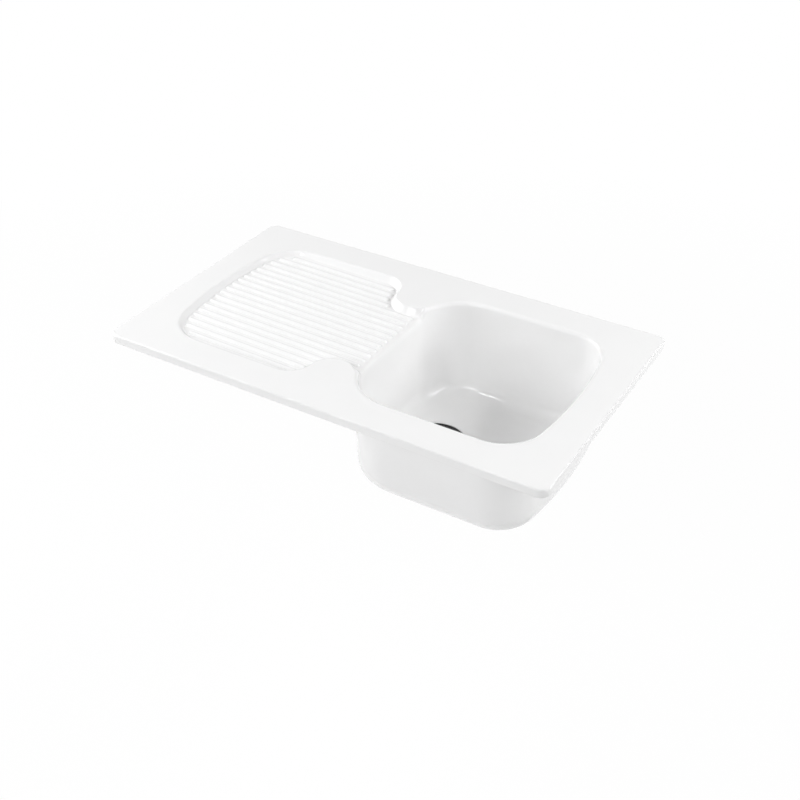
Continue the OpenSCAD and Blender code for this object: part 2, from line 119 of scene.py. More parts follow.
# %% Centres and angles of the arcs
bow_x = OPEN_END - BOW_R
corner_y = OPEN_HALF - CORNER_R
bow_a = math.degrees(math.asin(corner_y / (BOW_R - CORNER_R)))
corner_x = bow_x + (BOW_R - CORNER_R) * math.cos(math.radians(bow_a))
bowl_cx = BOWL_LEFT + BOWL_R
bowl_cy = OPEN_HALF - BOWL_R
nose_y = NOSE_GAP + NOSE_R
nose_x = bowl_cx - math.sqrt((BOWL_R + NOSE_R) ** 2 - (nose_y - bowl_cy) ** 2)
shoulder_y = OPEN_HALF - SHOULDER_R
shoulder_x = nose_x - math.sqrt((SHOULDER_R + NOSE_R) ** 2 - (nose_y - shoulder_y) ** 2)
flank_a = math.degrees(math.atan2(bowl_cy - nose_y, bowl_cx - nose_x))
shoulder_a = math.degrees(math.atan2(nose_y - shoulder_y, nose_x - shoulder_x))
# Where the drainer's sloping wall stops on the nose, short of the bowl's edge
NOSE_STOP = -62
print("centre of a nose:", round(nose_x, 1), nose_y, "and of a shoulder:", round(shoulder_x, 1), shoulder_y)

# %% Walk a chain of arcs
# An arc is (centre x, centre y, radius, first angle, last angle, steps, links):
# a negative radius bulges into the hollow, and links are the equal parts of the
# straight line to the next arc.
bowl_right = [
    (bow_x, 0, BOW_R, 0, bow_a, 8, 0),
    (corner_x, corner_y, CORNER_R, bow_a, 90, 30, 14),
    (bowl_cx, bowl_cy, BOWL_R, 90, 180 + flank_a, 24, 0)]
bowl_weir = [
    (bowl_cx, bowl_cy, BOWL_R, 180 + flank_a, WEIR_TURN, 26, 0),
    (bowl_cx, bowl_cy, BOWL_R, WEIR_TURN, 180, 5, 10),
    (BOWL_LEFT, 0, 0, 180, 180, 0, 0)]
bowl_plan = bowl_right + bowl_weir
nose_flank = [(nose_x, nose_y, -NOSE_R, flank_a, NOSE_STOP, 18, 0)]
drain_plan = [
    (nose_x, nose_y, -NOSE_R, NOSE_STOP, shoulder_a - 180, 40, 0),
    (shoulder_x, shoulder_y, SHOULDER_R, shoulder_a, 90, 30, 14),
    (-corner_x, corner_y, CORNER_R, 90, 180 - bow_a, 30, 0),
    (-bow_x, 0, BOW_R, 180 - bow_a, 180, 8, 0)]


def rect_plan(inset, radius):
    """A rounded rectangle inside the rim's outline: the chain of its back half, with straight links."""
    half_l = RIM_L / 2 - inset - radius
    half_w = RIM_W / 2 - inset - radius
    return [(RIM_L / 2 - inset, 0, 0, 0, 0, 0, 8), (half_l, half_w, radius, 0, 90, 8, 16),
            (-half_l, half_w, radius, 90, 180, 8, 8), (inset - RIM_L / 2, 0, 0, 0, 0, 0, 0)]


def back_half(plan, inset=0.0):
    """Points of a chain moved inwards: on each arc the centre plus (radius - inset) times the unit
    vector at the angle; a straight link between two arcs is divided evenly."""
    parts = []
    previous_links = 0
    for cx, cy, r, first, last, steps, links in plan:
        angle = np.radians(np.linspace(first, last, steps + 1))
        reach = r - inset if r >= 0 else inset - r
        arc = np.column_stack([cx + reach * np.cos(angle), cy + reach * np.sin(angle)])
        if previous_links:
            share = np.linspace(0, 1, previous_links + 1)[:, None]
            line = parts[-1][-1] + share * (arc[0] - parts[-1][-1])
            parts.append(line[1:-1])
            parts.append(arc)
        else:
            parts.append(arc[1:] if parts else arc)
        previous_links = links
    return np.vstack(parts)


def loop(plan, inset=0.0):
    """A closed curve: the back half, which starts and ends on the middle line, and its mirror image."""
    half = back_half(plan, inset)
    return np.vstack([half, half[-2:0:-1] * (1, -1)])


def open_curve(plan, inset=0.0):
    """A curve whose back half ends on the middle line, carried on by its mirror image."""
    half = back_half(plan, inset)
    return np.vstack([half, half[-2::-1] * (1, -1)])


print("points round the bowl's edge:", len(loop(bowl_plan)))
print("points along the drainer's edge:", len(open_curve(drain_plan)))

# %% [markdown]
# ## How deep is the moulding at a point?
#
# Everything on top except the bowl's steep walls is a height above the plan. So
# one function can answer for any number of points at once: it measures how far
# each lies inside the drainer's outline, and lets the floor sink by a smooth S
# over the width of the sloping wall. The same measure serves the underside.

# %% Distance inside the bowl's and the drainer's outlines
def bowl_inset(x, y):
    """How far a point lies inside the bowl's plan: the least distance to its bow, sides and corners."""
    y = np.abs(y)
    bow = BOW_R - np.hypot(x - bow_x, y)
    straight = np.minimum(np.minimum(bow, OPEN_HALF - y), x - BOWL_LEFT)
    corner = CORNER_R - np.hypot(x - corner_x, y - corner_y)
    in_corner = (x > corner_x) & (y - corner_y > (x - corner_x) * math.tan(math.radians(bow_a)))
    round_ = BOWL_R - np.hypot(x - bowl_cx, y - bowl_cy)
    in_round = (x < bowl_cx) & (y > bowl_cy)
    return np.where(in_corner, corner, np.where(in_round, round_, straight))


def drain_inset(x, y):
    """How far a point outside the bowl lies inside the drainer's hollow; negative on the flat land."""
    y = np.abs(y)
    bow = BOW_R - np.hypot(x + bow_x, y)
    corner = CORNER_R - np.hypot(x + corner_x, y - corner_y)
    in_corner = (x < -corner_x) & (y - corner_y > -(x + corner_x) * math.tan(math.radians(bow_a)))
    left = np.where(in_corner, corner, np.minimum(bow, OPEN_HALF - y))
    shoulder = SHOULDER_R - np.hypot(x - shoulder_x, y - shoulder_y)
    nose = np.hypot(x - nose_x, y - nose_y) - NOSE_R
    in_shoulder = (x > shoulder_x) & (y - shoulder_y > (x - shoulder_x) * math.tan(math.radians(shoulder_a)))
    past_flank = (x > nose_x) & (y - nose_y > (x - nose_x) * math.tan(math.radians(flank_a)))
    right = np.where(past_flank, bowl_inset(x, y), np.where(in_shoulder, shoulder, nose))
    return np.minimum(left, right)


# %% Height of the top and of the underside
DRAIN_DEPTH = 8.5
DRAIN_FALL = math.radians(1)
WALL_RUN = 12
UNDER_START = -SKIN / 2
UNDER_RUN = 10.5


def smooth_step(share):
    """0 before 0, 1 after 1, and half a cosine wave between."""
    return (1 - np.cos(np.pi * np.clip(share, 0, 1))) / 2


def drain_drop(x):
    """Depth of the drainer's floor below the rim's top: it falls evenly towards the bowl."""
    run = np.minimum(x, BOWL_LEFT) + OPEN_END - WALL_RUN
    return DRAIN_DEPTH + run * math.tan(DRAIN_FALL)


def top_z(x, y):
    """Height of the moulding's top outside the bowl: the land, less the floor's depth on the sloping wall."""
    return TOP - drain_drop(x) * smooth_step(drain_inset(x, y) / WALL_RUN)


def under_z(x, y):
    """Height of its underside: one skin lower, with the slope moved outwards by half a skin."""
    return TOP - SKIN - drain_drop(x) * smooth_step((drain_inset(x, y) - UNDER_START) / UNDER_RUN)


def raised(points, height):
    """Adds the height of each plan point as its third coordinate."""
    return np.column_stack([points, height(points[:, 0], points[:, 1])])


def at_level(points, z):
    """The plan points at one height, or at a height each."""
    return np.column_stack([points, np.broadcast_to(z, len(points))])


print("drainer's depth at its far end and at the weir:", DRAIN_DEPTH, round(float(drain_drop(BOWL_LEFT)), 2))

# %% [markdown]
# ## Patches, and one list of faces
#
# A surface made as rows of points is easy to close: neighbouring points of
# neighbouring rows are a face. Patches that share a curve hold the same points
# there, so merging points closer than a hair joins them into one skin.

# %% Collect patches into a mesh
class Skin:
    """Gathers patches of points and faces, and turns them into one mesh."""

    def __init__(self):
        self.points, self.faces, self.count = [], [], 0

    def add(self, points, faces):
        """Adds points in millimetres and faces that count from the patch's own first point."""
        self.points.append(points)
        self.faces.extend((np.asarray(faces) + self.count).tolist())
        self.count += len(points)

    def grid(self, rows, closed=False):
        """Adds rows of points, an array (row, column, 3): a quad between each four neighbours."""
        rows = np.asarray(rows, float)
        m, n = rows.shape[:2]
        index = np.arange(m * n).reshape(m, n)
        if closed:
            index = np.column_stack([index, index[:, 0]])
        quads = np.stack([index[:-1, :-1], index[:-1, 1:], index[1:, 1:], index[1:, :-1]], axis=-1)
        self.add(rows.reshape(-1, 3), quads.reshape(-1, 4))

    def mesh(self, name, sharp=35.0, merge=0.002):
        """Merges what lies closer than merge, in millimetres, turns the faces outwards and shades them
        smooth up to the angle sharp."""
        data = bpy.data.meshes.new(name)
        data.from_pydata((np.vstack(self.points) * MM).tolist(), [], self.faces)
        work = bmesh.new()
        work.from_mesh(data)
        bmesh.ops.remove_doubles(work, verts=work.verts, dist=merge * MM)
        bmesh.ops.dissolve_degenerate(work, edges=work.edges, dist=merge * MM / 10)
        bmesh.ops.recalc_face_normals(work, faces=work.faces)
        open_edges = sum(1 for edge in work.edges if len(edge.link_faces) != 2)
        work.to_mesh(data)
        work.free()
        data.shade_smooth()
        data.set_sharp_from_angle(angle=math.radians(sharp))
        data.calc_loop_triangles()
        print(name, "has", len(data.loop_triangles), "triangles and", open_edges, "open edges")
        return data


WHOLE_HULL = 0
SAME_POINT = 1e-4


def flat_fill(bounds, loose, holes):
    """Constrained Delaunay triangulation in plan. bounds are curves (points, closed) whose edges are kept,
    loose are further points, and a triangle that touches a point of holes is left out."""
    points, edges, start = [], [], 0
    for curve, closed in bounds:
        n = len(curve)
        points.append(curve)
        edges += [(start + i, start + (i + 1) % n) for i in range(n if closed else n - 1)]
        start += n
    points += [loose, holes] if len(loose) else [holes]
    first_hole = start + len(loose)
    flat = np.vstack(points)
    made = delaunay_2d_cdt([Vector(p) for p in flat], edges, [], WHOLE_HULL, SAME_POINT, True)
    places, _, triangles, sources = made[:4]
    in_hole = np.array([bool(ids) and max(ids) >= first_hole for ids in sources])
    triangles = np.array(triangles)
    kept = triangles[~in_hole[triangles].any(axis=1)]
    return np.array([tuple(p) for p in places]), kept


# %% [markdown]
# ## The drainer's ribs
#
# Each rib is the top of a round bar that lies in the floor, with round ends and
# a small hollow at its foot, where the mould was radiused. It is a profile
# carried round a path: the path is the bar's straight axis, out on one side and
# back on the other, and the profile gives the height at each distance from it.

# %% Profile and path of a rib
RIB_COUNT = 19
RIB_PITCH = 18
RIB_W = 10
RIB_H = 3.5
RIB_FOOT = 1.0
RIB_FOOT_REACH = 0.3
RIB_ROOM = 18.4
WEIR_ROOM = 2
# Ribs that lie nearer to the middle than this run on between the noses
THROUGH_Y = NOSE_GAP - RIB_ROOM + 1
rib_r = (RIB_H ** 2 + RIB_W ** 2 / 4) / (2 * RIB_H)
rib_reach = RIB_W / 2 + RIB_FOOT_REACH
rib_distances = rib_reach * np.sin(np.linspace(0, np.pi / 2, 11))


def rib_rise(distance):
    """Height over the floor: a circle's arc, blended into the floor by a soft maximum."""
    arc = np.sqrt(np.maximum(rib_r ** 2 - distance ** 2, 0)) - (rib_r - RIB_H)
    blend = np.clip(1 - np.abs(arc) / RIB_FOOT, 0, 1)
    rise = np.maximum(arc, 0) + blend ** 2 * RIB_FOOT / 4
    return np.where(distance >= rib_reach, 0, rise)


def rib_ends(y):
    """Ends of a rib's axis: where a line at height y meets the outline moved inwards by the rib's room."""
    y = abs(y)
    room = RIB_ROOM
    if y < corner_y + (CORNER_R - room) * math.sin(math.radians(bow_a)):
        left = -bow_x - math.sqrt((BOW_R - room) ** 2 - y ** 2)
    else:
        left = -corner_x - math.sqrt((CORNER_R - room) ** 2 - (y - corner_y) ** 2)
    if y <= THROUGH_Y:
        right = BOWL_LEFT - WEIR_ROOM - RIB_W / 2
    elif y < shoulder_y + (SHOULDER_R - room) * math.sin(math.radians(shoulder_a)):
        right = nose_x - math.sqrt((NOSE_R + room) ** 2 - (nose_y - y) ** 2)
    else:
        right = shoulder_x + math.sqrt((SHOULDER_R - room) ** 2 - (y - shoulder_y) ** 2)
    return left, right


def rib_path(y, columns=26, turn=12):
    """The axis once round: its points, and the direction to each side of it."""
    left, right = rib_ends(y)
    along = left + (right - left) * (1 - np.cos(np.linspace(0, np.pi, columns))) / 2
    angle = np.linspace(0, np.pi, turn + 1)[1:-1]
    centre_x = np.concatenate([along, np.full(turn - 1, right), along[::-1], np.full(turn - 1, left)])
    side_x = np.concatenate([np.zeros(columns), np.sin(angle), np.zeros(columns), -np.sin(angle)])
    side_y = np.concatenate([-np.ones(columns), -np.cos(angle), np.ones(columns), np.cos(angle)])
    return centre_x, side_x, side_y


def rib_rows(y):
    """The rib as rows at growing distance from its axis."""
    centre_x, side_x, side_y = rib_path(y)
    rows = []
    for distance in rib_distances[::-1]:
        x = centre_x + distance * side_x
        rows.append(np.column_stack([
            x, y + distance * side_y, TOP - drain_drop(x) + rib_rise(np.full(len(x), distance))]))
    return np.array(rows)


rib_lines = (np.arange(RIB_COUNT) - (RIB_COUNT - 1) / 2) * RIB_PITCH
ribs = [rib_rows(y) for y in rib_lines]
print("ribs:", len(ribs), "of length", [round(float(np.ptp(r[0][:, 0])), 1) for r in ribs[:3]], "and on")

# %% [markdown]
# ## The top of the moulding
#
# The sloping wall is a set of curves at growing distance inside the drainer's
# outline, each a row of the patch. Flat stretches need no rows at all: a
# triangulation between their edges is enough, because all its corners lie in
# one plane. On the flank of each nose the sloping wall runs out under the
# bowl's edge, so loose points are scattered there along the same curves.

# %% Curves of the top
# How far outside the hollow a row holds the flat land level
SUPPORT = 2.0
basin = Skin()
edge_half = len(back_half(bowl_right))
bowl_edge = loop(bowl_plan)
opening_loop = loop(bowl_right + nose_flank + drain_plan, -SUPPORT)
wall_insets = np.concatenate([[-SUPPORT], WALL_RUN * np.linspace(0, 1, 15)])
wall_curves = [open_curve(drain_plan, q) for q in wall_insets]
basin.grid([raised(curve, top_z) for curve in wall_curves])
for rows in ribs:
    basin.grid(rows, closed=True)


def round_the_right(curve):
    """The part of a closed curve from one flank of the noses round the bowl's right side to the other."""
    return np.roll(curve, edge_half - 1, axis=0)[:2 * edge_half - 1]


basin.grid([raised(round_the_right(opening_loop), top_z), raised(round_the_right(bowl_edge), top_z)])

# %% Loose points on the flanks of the noses
FLANK_STOP = NOSE_STOP + 1.5
EDGE_ROOM = 0.7
flank_insets = np.linspace(0, WALL_RUN, 13)
flank_plan = [(nose_x, nose_y, -NOSE_R, flank_a, FLANK_STOP, 26, 0)]
flank_points = np.vstack([back_half(flank_plan, q) for q in flank_insets])
flank_points = flank_points[bowl_inset(*flank_points.T) < -EDGE_ROOM]
flank_points = np.vstack([flank_points, flank_points * (1, -1)])
print("loose points:", len(flank_points))

# %% The rim's loops and the flat stretches
def rim_loop(inset, radius):
    """A closed curve inside the rim's outline."""
    return loop(rect_plan(inset, radius))


land_loop = rim_loop(RIM_ARRIS + SUPPORT, RIM_CORNER - RIM_ARRIS - SUPPORT)
right_edge = round_the_right(bowl_edge)
start_line = np.array([curve[0] for curve in wall_curves])
top_bounds = [
    (land_loop, True), (opening_loop, True), (wall_curves[-1], False), (start_line, False),
    (start_line * (1, -1), False), (bowl_edge, True)]
top_bounds += [(rows[0][:, :2], True) for rows in ribs]
for side in (1, -1):
    flank_line = np.array([right_edge[-1], round_the_right(opening_loop)[-1]]) * (1, side)
    top_bounds.append((flank_line, False))
# Points on these curves mark what already has its own patch: the sloping wall and the bowl
WALL_MARKS = (-1, 2, 5, 8, 10, 11.5)
BOWL_MARK = 4
top_holes = np.vstack(
    [right_edge[1:-1], (right_edge + round_the_right(opening_loop))[1:-1] / 2, loop(bowl_plan, BOWL_MARK)]
    + [open_curve(drain_plan, q)[1:-1] for q in WALL_MARKS]
    + [rows[-1][:, :2] for rows in ribs])


# %% Fill the flat stretches
def fill(skin, height, bounds, loose, holes):
    """Triangulates between the curves and lifts every corner to the height of its point."""
    points, triangles = flat_fill(bounds, loose, holes)
    used = np.unique(triangles)
    renumber = np.zeros(len(points), int)
    renumber[used] = np.arange(len(used))
    skin.add(raised(points[used], height), renumber[triangles])
    return len(triangles)


print("triangles on the flat stretches:", fill(basin, top_z, top_bounds, flank_points, top_holes))

# %% [markdown]
# ## The bowl
#
# The bowl is one profile carried round its edge: a rounded lip, a wall with two
# degrees of draft so that the moulding leaves its mould, a wide fillet, and a
# floor that falls to the outlet. The outside is the same profile one skin
# further out. The two meet in the outlet's hole.

# %% Profile of the bowl
BOWL_DEPTH = 195
DRAFT = math.radians(2)
LIP_R = 8
FILLET_R = 30
BOWL_FALL = 3
OUTLET_D = 90
OUTLET_EDGE = 0.5
SEAT_R = 56
SEAT_DEPTH = 3
SEAT_EDGE = 1.0
SEAT_FOOT = 0.6
OUTLET_X = float(sum(corner[0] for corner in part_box("upper_gasket"))) / 2 / MM
wall_top_x = LIP_R * math.cos(DRAFT)
wall_top_drop = LIP_R * (1 - math.sin(DRAFT))
wall_foot_drop = BOWL_DEPTH - FILLET_R * (1 - math.sin(DRAFT))
wall_foot_x = wall_top_x + (wall_foot_drop - wall_top_drop) * math.tan(DRAFT)
fillet_x = wall_foot_x + FILLET_R * math.cos(DRAFT)
fillet_drop = BOWL_DEPTH - FILLET_R


def floor_rise(x):
    """Rise of the bowl's floor to the right of its left edge."""
    return BOWL_FALL * (x - BOWL_LEFT) / (OPEN_END - BOWL_LEFT)


def fillet_row(r, angle):
    """The bowl's outline at one angle of the fillet, of radius r inside and one skin more outside."""
    points = loop(bowl_plan, fillet_x - r * math.cos(angle))
    z = TOP - fillet_drop - r * math.sin(angle) + floor_rise(points[:, 0]) * math.sin(angle)
    return at_level(points, z)


def between(first, last, shares):
    """Rows that lead straight from one row to another."""
    return [first + (last - first) * share for share in shares]


# %% The inside of the bowl
edge_z = top_z(*bowl_edge.T)
lip_angles = np.linspace(0, np.pi / 2 - DRAFT, 11)
lip_rows = [at_level(loop(bowl_plan, LIP_R * math.sin(a)), edge_z - LIP_R * (1 - math.cos(a)))
            for a in lip_angles]
fillet_rows = [fillet_row(FILLET_R, a) for a in np.linspace(DRAFT, np.pi / 2, 13)]
wall_rows = between(lip_rows[-1], fillet_rows[0], np.linspace(0, 1, 16)[1:-1])
floor_edge = fillet_rows[-1]
outlet_centre = np.array([OUTLET_X, 0])


def outlet_ring(radius, z):
    """A circle about the outlet, with one point in the direction of each point of the bowl's edge."""
    towards = floor_edge[:, :2] - outlet_centre
    towards /= np.linalg.norm(towards, axis=1)[:, None]
    return at_level(outlet_centre + radius * towards, z)


def floor_ring(radius, drop=0.0):
    """A circle about the outlet that lies on the sloping floor."""
    ring = outlet_ring(radius, TOP - BOWL_DEPTH - drop)
    ring[:, 2] += floor_rise(ring[:, 0])
    return ring


seat_z = TOP - BOWL_DEPTH - SEAT_DEPTH
seat_rows = [floor_ring(SEAT_R + SEAT_EDGE * (1 - math.sin(a)), SEAT_EDGE * (1 - math.cos(a)))
             for a in np.radians([0, 22.5, 45, 67.5, 90])]
floor_rows = between(floor_edge, seat_rows[0], np.linspace(0, 1, 9)[1:-1])
seat_rows += [outlet_ring(radius, z) for radius, z in (
    (SEAT_R, seat_z + SEAT_FOOT), (SEAT_R - SEAT_FOOT, seat_z),
    (OUTLET_D / 2 + OUTLET_EDGE, seat_z), (OUTLET_D / 2, seat_z - OUTLET_EDGE))]
inside = lip_rows + wall_rows + fillet_rows + floor_rows + seat_rows
print("the bowl's inside has", len(inside), "rows of", len(bowl_edge))

# %% The outside of the bowl, and the underside
COVE_R = 6
outer_top_drop = SKIN - 1
wall_out = wall_top_x - SKIN / math.cos(DRAFT) + (outer_top_drop - wall_top_drop) * math.tan(DRAFT)
cove_start = loop(bowl_plan, wall_out - COVE_R)
cove_z = under_z(*cove_start.T)
cove_rows = [
    at_level(loop(bowl_plan, wall_out - COVE_R * (1 - math.sin(a))), cove_z - COVE_R * (1 - math.cos(a)))
    for a in np.linspace(0, np.pi / 2, 7)]
outer_fillet = [fillet_row(FILLET_R + SKIN, a) for a in np.linspace(DRAFT, np.pi / 2, 15)]
outer_wall = between(cove_rows[-1], outer_fillet[0], np.linspace(0, 1, 12)[1:-1])
outer_floor = between(outer_fillet[-1], floor_ring(OUTLET_D / 2, SKIN), np.linspace(0, 1, 8)[1:])
outside = cove_rows + outer_wall + outer_fillet + outer_floor
basin.grid(inside + outside[::-1], closed=True)
print("and its outside", len(outside))

# %% The rim's edge, the groove of its sealing strip and the ledge
STRIP_EDGE = 6.9
STRIP_ROOM = 6.2
STRIP_DEPTH = 2.5
FOOT_R = 0.6
EDGE_SUPPORT = 1
LEDGE_COVE = 3
# A cove's middle point lies this share of its radius from either wall
COVE_MIDDLE = 0.3
ceiling_z = TOP - SKIN
rim_rows = [at_level(land_loop, TOP)]
rim_rows += [at_level(rim_loop(RIM_ARRIS * (1 - math.sin(a)), RIM_CORNER - RIM_ARRIS * (1 - math.sin(a))),
                      TOP - RIM_ARRIS * (1 - math.cos(a))) for a in np.linspace(0, np.pi / 2, 9)]
rim_rows += [at_level(rim_loop(0, RIM_CORNER), z)
             for z in (TOP - RIM_ARRIS - EDGE_SUPPORT, FOOT_R + EDGE_SUPPORT)]
rim_rows += [at_level(rim_loop(FOOT_R * (1 - math.cos(a)), RIM_CORNER), FOOT_R * (1 - math.sin(a)))
             for a in np.linspace(0, np.pi / 2, 4)]
for inset, z in (
        (STRIP_EDGE, 0), (STRIP_EDGE, STRIP_DEPTH), (STRIP_EDGE + STRIP_ROOM, STRIP_DEPTH),
        (STRIP_EDGE + STRIP_ROOM, 0), (LEDGE - FOOT_R, 0), (LEDGE, FOOT_R), (LEDGE, ceiling_z - LEDGE_COVE),
        (LEDGE + COVE_MIDDLE * LEDGE_COVE, ceiling_z - COVE_MIDDLE * LEDGE_COVE),
        (LEDGE + LEDGE_COVE, ceiling_z)):
    rim_rows.append(at_level(rim_loop(inset, RIM_CORNER), z))
basin.grid(rim_rows, closed=True)
print("the rim has", len(rim_rows), "rows of", len(land_loop))

# %% Fill the underside
PAST_SLOPE = 0.15
COVE_ROOM = 1.2
pan_insets = UNDER_START + UNDER_RUN * np.linspace(-PAST_SLOPE, 1 + PAST_SLOPE, 14)
pan_plan = nose_flank + drain_plan
pan_points = np.vstack([open_curve(pan_plan, q) for q in pan_insets])
pan_points = pan_points[bowl_inset(*pan_points.T) < wall_out - COVE_R - COVE_ROOM]
under_bounds = [(rim_rows[-1][:, :2], True), (cove_start, True)]
print("triangles on the underside:", fill(basin, under_z, under_bounds, pan_points, bowl_edge))

# %% [markdown]
# ## Bosses and the clamping face
#
# Twelve bosses under the rim hold brass inserts, and a raised ring round the
# outlet gives the waste's gasket a flat face. Each is a profile turned about its
# own axis, closed in itself and sunk a little into the skin, as it would be in
# the mould.

# %% Turn a profile
def turned(profile, centre, steps=48):
    """Rows of a closed profile of (radius, z) points, turned about a vertical axis: x and y are the
    radius times the cosine and sine of the angle."""
    profile = np.asarray(profile, float)
    angle = np.linspace(0, 2 * np.pi, steps, endpoint=False)
    x = centre[0] + profile[:, :1] * np.cos(angle)
    y = centre[1] + profile[:, :1] * np.sin(angle)
    z = np.broadcast_to(profile[:, 1:], x.shape)
    return np.stack([x, y, z], axis=-1)


FIXING_CELL = 30


def fixing_points():
    """Centres of the brass inserts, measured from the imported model. Points that share a cell of a coarse
    grid belong to one insert."""
    co = np.array([v.co[:2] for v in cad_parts["fixing_inserts"].data.vertices]) / MM
    cells = {}
    for p in co:
        cells.setdefault((round(p[0] / FIXING_CELL), round(p[1] / FIXING_CELL)), []).append(p)
    return [(np.min(c, axis=0) + np.max(c, axis=0)) / 2 for c in cells.values()]


# %% Make the bosses and the clamping face
BOSS_R = 8
BOSS_EDGE = 0.5
BOSS_COVE = 1.2
BOSS_SUNK = 0.8
INSERT_R = 3.5
BORE_EDGE = 0.3
sunk_z = ceiling_z + BOSS_SUNK
boss_foot = BOSS_R + BOSS_COVE
fixings = fixing_points()
for centre in fixings:
    basin.grid(turned([
        (INSERT_R, sunk_z), (INSERT_R, BORE_EDGE), (INSERT_R + BORE_EDGE, 0), (BOSS_R - BOSS_EDGE, 0),
        (BOSS_R, BOSS_EDGE), (BOSS_R, ceiling_z - BOSS_COVE), (boss_foot, ceiling_z), (boss_foot, sunk_z),
        (INSERT_R, sunk_z)], centre, 32), closed=True)
CLAMP_R = 59
CLAMP_EDGE = 0.6
CLAMP_SUNK = 2
clamp_bore = OUTLET_D / 2 + 0.1
clamp_top = seat_z - CLAMP_SUNK
basin.grid(turned([
    (clamp_bore, clamp_top), (clamp_bore, UNDER + BORE_EDGE), (clamp_bore + BORE_EDGE, UNDER),
    (CLAMP_R - CLAMP_EDGE, UNDER), (CLAMP_R, UNDER + CLAMP_EDGE), (CLAMP_R, clamp_top),
    (clamp_bore, clamp_top)], (OUTLET_X, 0), 96), closed=True)
print("bosses:", len(fixings), "at", [tuple(np.round(c).astype(int).tolist()) for c in fixings[:3]], "and on")

# %% Make the basin's mesh
def piece(name, data):
    """Links a mesh as an object at the origin."""
    made = bpy.data.objects.new(name, data)
    bpy.context.scene.collection.objects.link(made)
    return made


basin_piece = piece("moulded_basin", basin.mesh("moulded_basin"))
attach(basin_piece, "sink")
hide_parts("basin")

# %% [markdown]
# ## Rounding the waste's mouldings
#
# A moulded edge is never sharp: the tool is radiused so that the plastic flows
# and the piece lets go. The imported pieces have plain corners, so the ones that
# show are made again from the same profiles, with every corner turned into a
# small arc before the profile goes round its axis.

# %% Round the corners of a profile
WASTE = (OUTLET_X, 0.0)
TURN_STEPS = 96


def rounded(corners, steps=4):
    """Corners (radius, z, rounding) of a closed profile. A rounded corner becomes an arc that touches both
    sides: it starts rounding / tan(half the corner's angle) away, and its points are the unit vectors
    between the two touching ones, times the rounding, from the arc's centre."""
    place = np.array([corner[:2] for corner in corners], float)
    points = []
    for k, corner in enumerate(corners):
        if corner[2] == 0:
            points.append(place[k])
            continue
        back = place[k - 1] - place[k]
        on = place[(k + 1) % len(corners)] - place[k]
        back /= np.linalg.norm(back)
        on /= np.linalg.norm(on)
        half = math.acos(np.clip(back @ on, -1, 1)) / 2
        middle = (back + on) / np.linalg.norm(back + on)
        centre = place[k] + middle * corner[2] / math.sin(half)
        touch = corner[2] / math.tan(half)
        first = place[k] + back * touch - centre
        last = place[k] + on * touch - centre
        share = np.linspace(0, 1, steps + 1)[:, None]
        arc = first + (last - first) * share
        points.extend(centre + arc / np.linalg.norm(arc, axis=1)[:, None] * corner[2])
    return np.array(points + [points[0]])


def circle(centre, radius, z, steps):
    """One row: a circle in plan at a height."""
    return turned([(radius, z)], centre, steps)[0]


def slotted(made, body, node):
    """Says what a piece rides on and hides the imported node that it stands for."""
    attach(made, body)
    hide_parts(node)
    return made


# %% [markdown]
# ## The strainer cup
#
# The black ring that shows in the outlet is the flange of a moulded cup. Its
# walls are one turned profile. Its floor is flat with ten drain holes and one
# for the clamp screw, so it is triangulated between their circles, and short
# turned profiles with softened edges line the holes.

# %% Sizes of the strainer cup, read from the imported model
cup_low, cup_high = (np.array(corner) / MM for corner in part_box("strainer_cup"))
FLANGE_R = (cup_high - cup_low)[0] / 2
CUP_BOTTOM = cup_low[2]
CUP_T = 2
CUP_R = 41
CUP_HOLES = 10
CUP_HOLE_R = 4.5
CUP_HOLE_RING = 22.5
SCREW_HOLE_R = 3.3
HOLE_EDGE = 0.4
HOLE_STEPS = 32
flange_top = cup_high[2]
cup_floor = CUP_BOTTOM + CUP_T
print("flange", round(2 * FLANGE_R, 1), "wide, top at", round(flange_top, 1))

# %% Make the strainer cup
cup = Skin()
cup_wall = rounded([
    (CUP_R, cup_floor, 1.5), (CUP_R, flange_top, 1.2), (FLANGE_R, flange_top, 0.95),
    (FLANGE_R, flange_top - CUP_T, 0.7), (CUP_R + CUP_T, flange_top - CUP_T, 0.5),
    (CUP_R + CUP_T, CUP_BOTTOM, 1.5), (CUP_HOLE_RING, CUP_BOTTOM, 0), (CUP_HOLE_RING, cup_floor, 0)])[:-3]
cup.grid(turned(cup_wall, WASTE, TURN_STEPS), closed=True)
cup_holes = [(WASTE, SCREW_HOLE_R)]
for turn in np.linspace(0, 2 * np.pi, CUP_HOLES, endpoint=False):
    drain_x = OUTLET_X + CUP_HOLE_RING * math.cos(turn)
    cup_holes.append(((drain_x, CUP_HOLE_RING * math.sin(turn)), CUP_HOLE_R))
for z, ring_r in ((cup_floor, cup_wall[0][0]), (CUP_BOTTOM, cup_wall[-1][0])):
    bounds = [(circle(WASTE, ring_r, z, TURN_STEPS)[:, :2], True)]
    bounds += [(circle(centre, r + HOLE_EDGE, z, HOLE_STEPS)[:, :2], True) for centre, r in cup_holes]
    fill(cup, lambda x, y: np.full(len(x), z), bounds, np.empty((0, 2)), np.array([c for c, r in cup_holes]))
edge_round = [(HOLE_EDGE * (1 - math.sin(a)), HOLE_EDGE * (1 - math.cos(a)))
              for a in np.linspace(0, np.pi / 2, 4)]
for centre, r in cup_holes:
    top = [(r + out, cup_floor - down) for out, down in edge_round]
    low = [(r + out, CUP_BOTTOM + up) for out, up in edge_round]
    cup.grid(turned(top + low[::-1], centre, HOLE_STEPS), closed=True)
cup_piece = slotted(piece("strainer_flange_and_cup", cup.mesh("strainer_flange_and_cup")),
                    "sink", "strainer_cup")

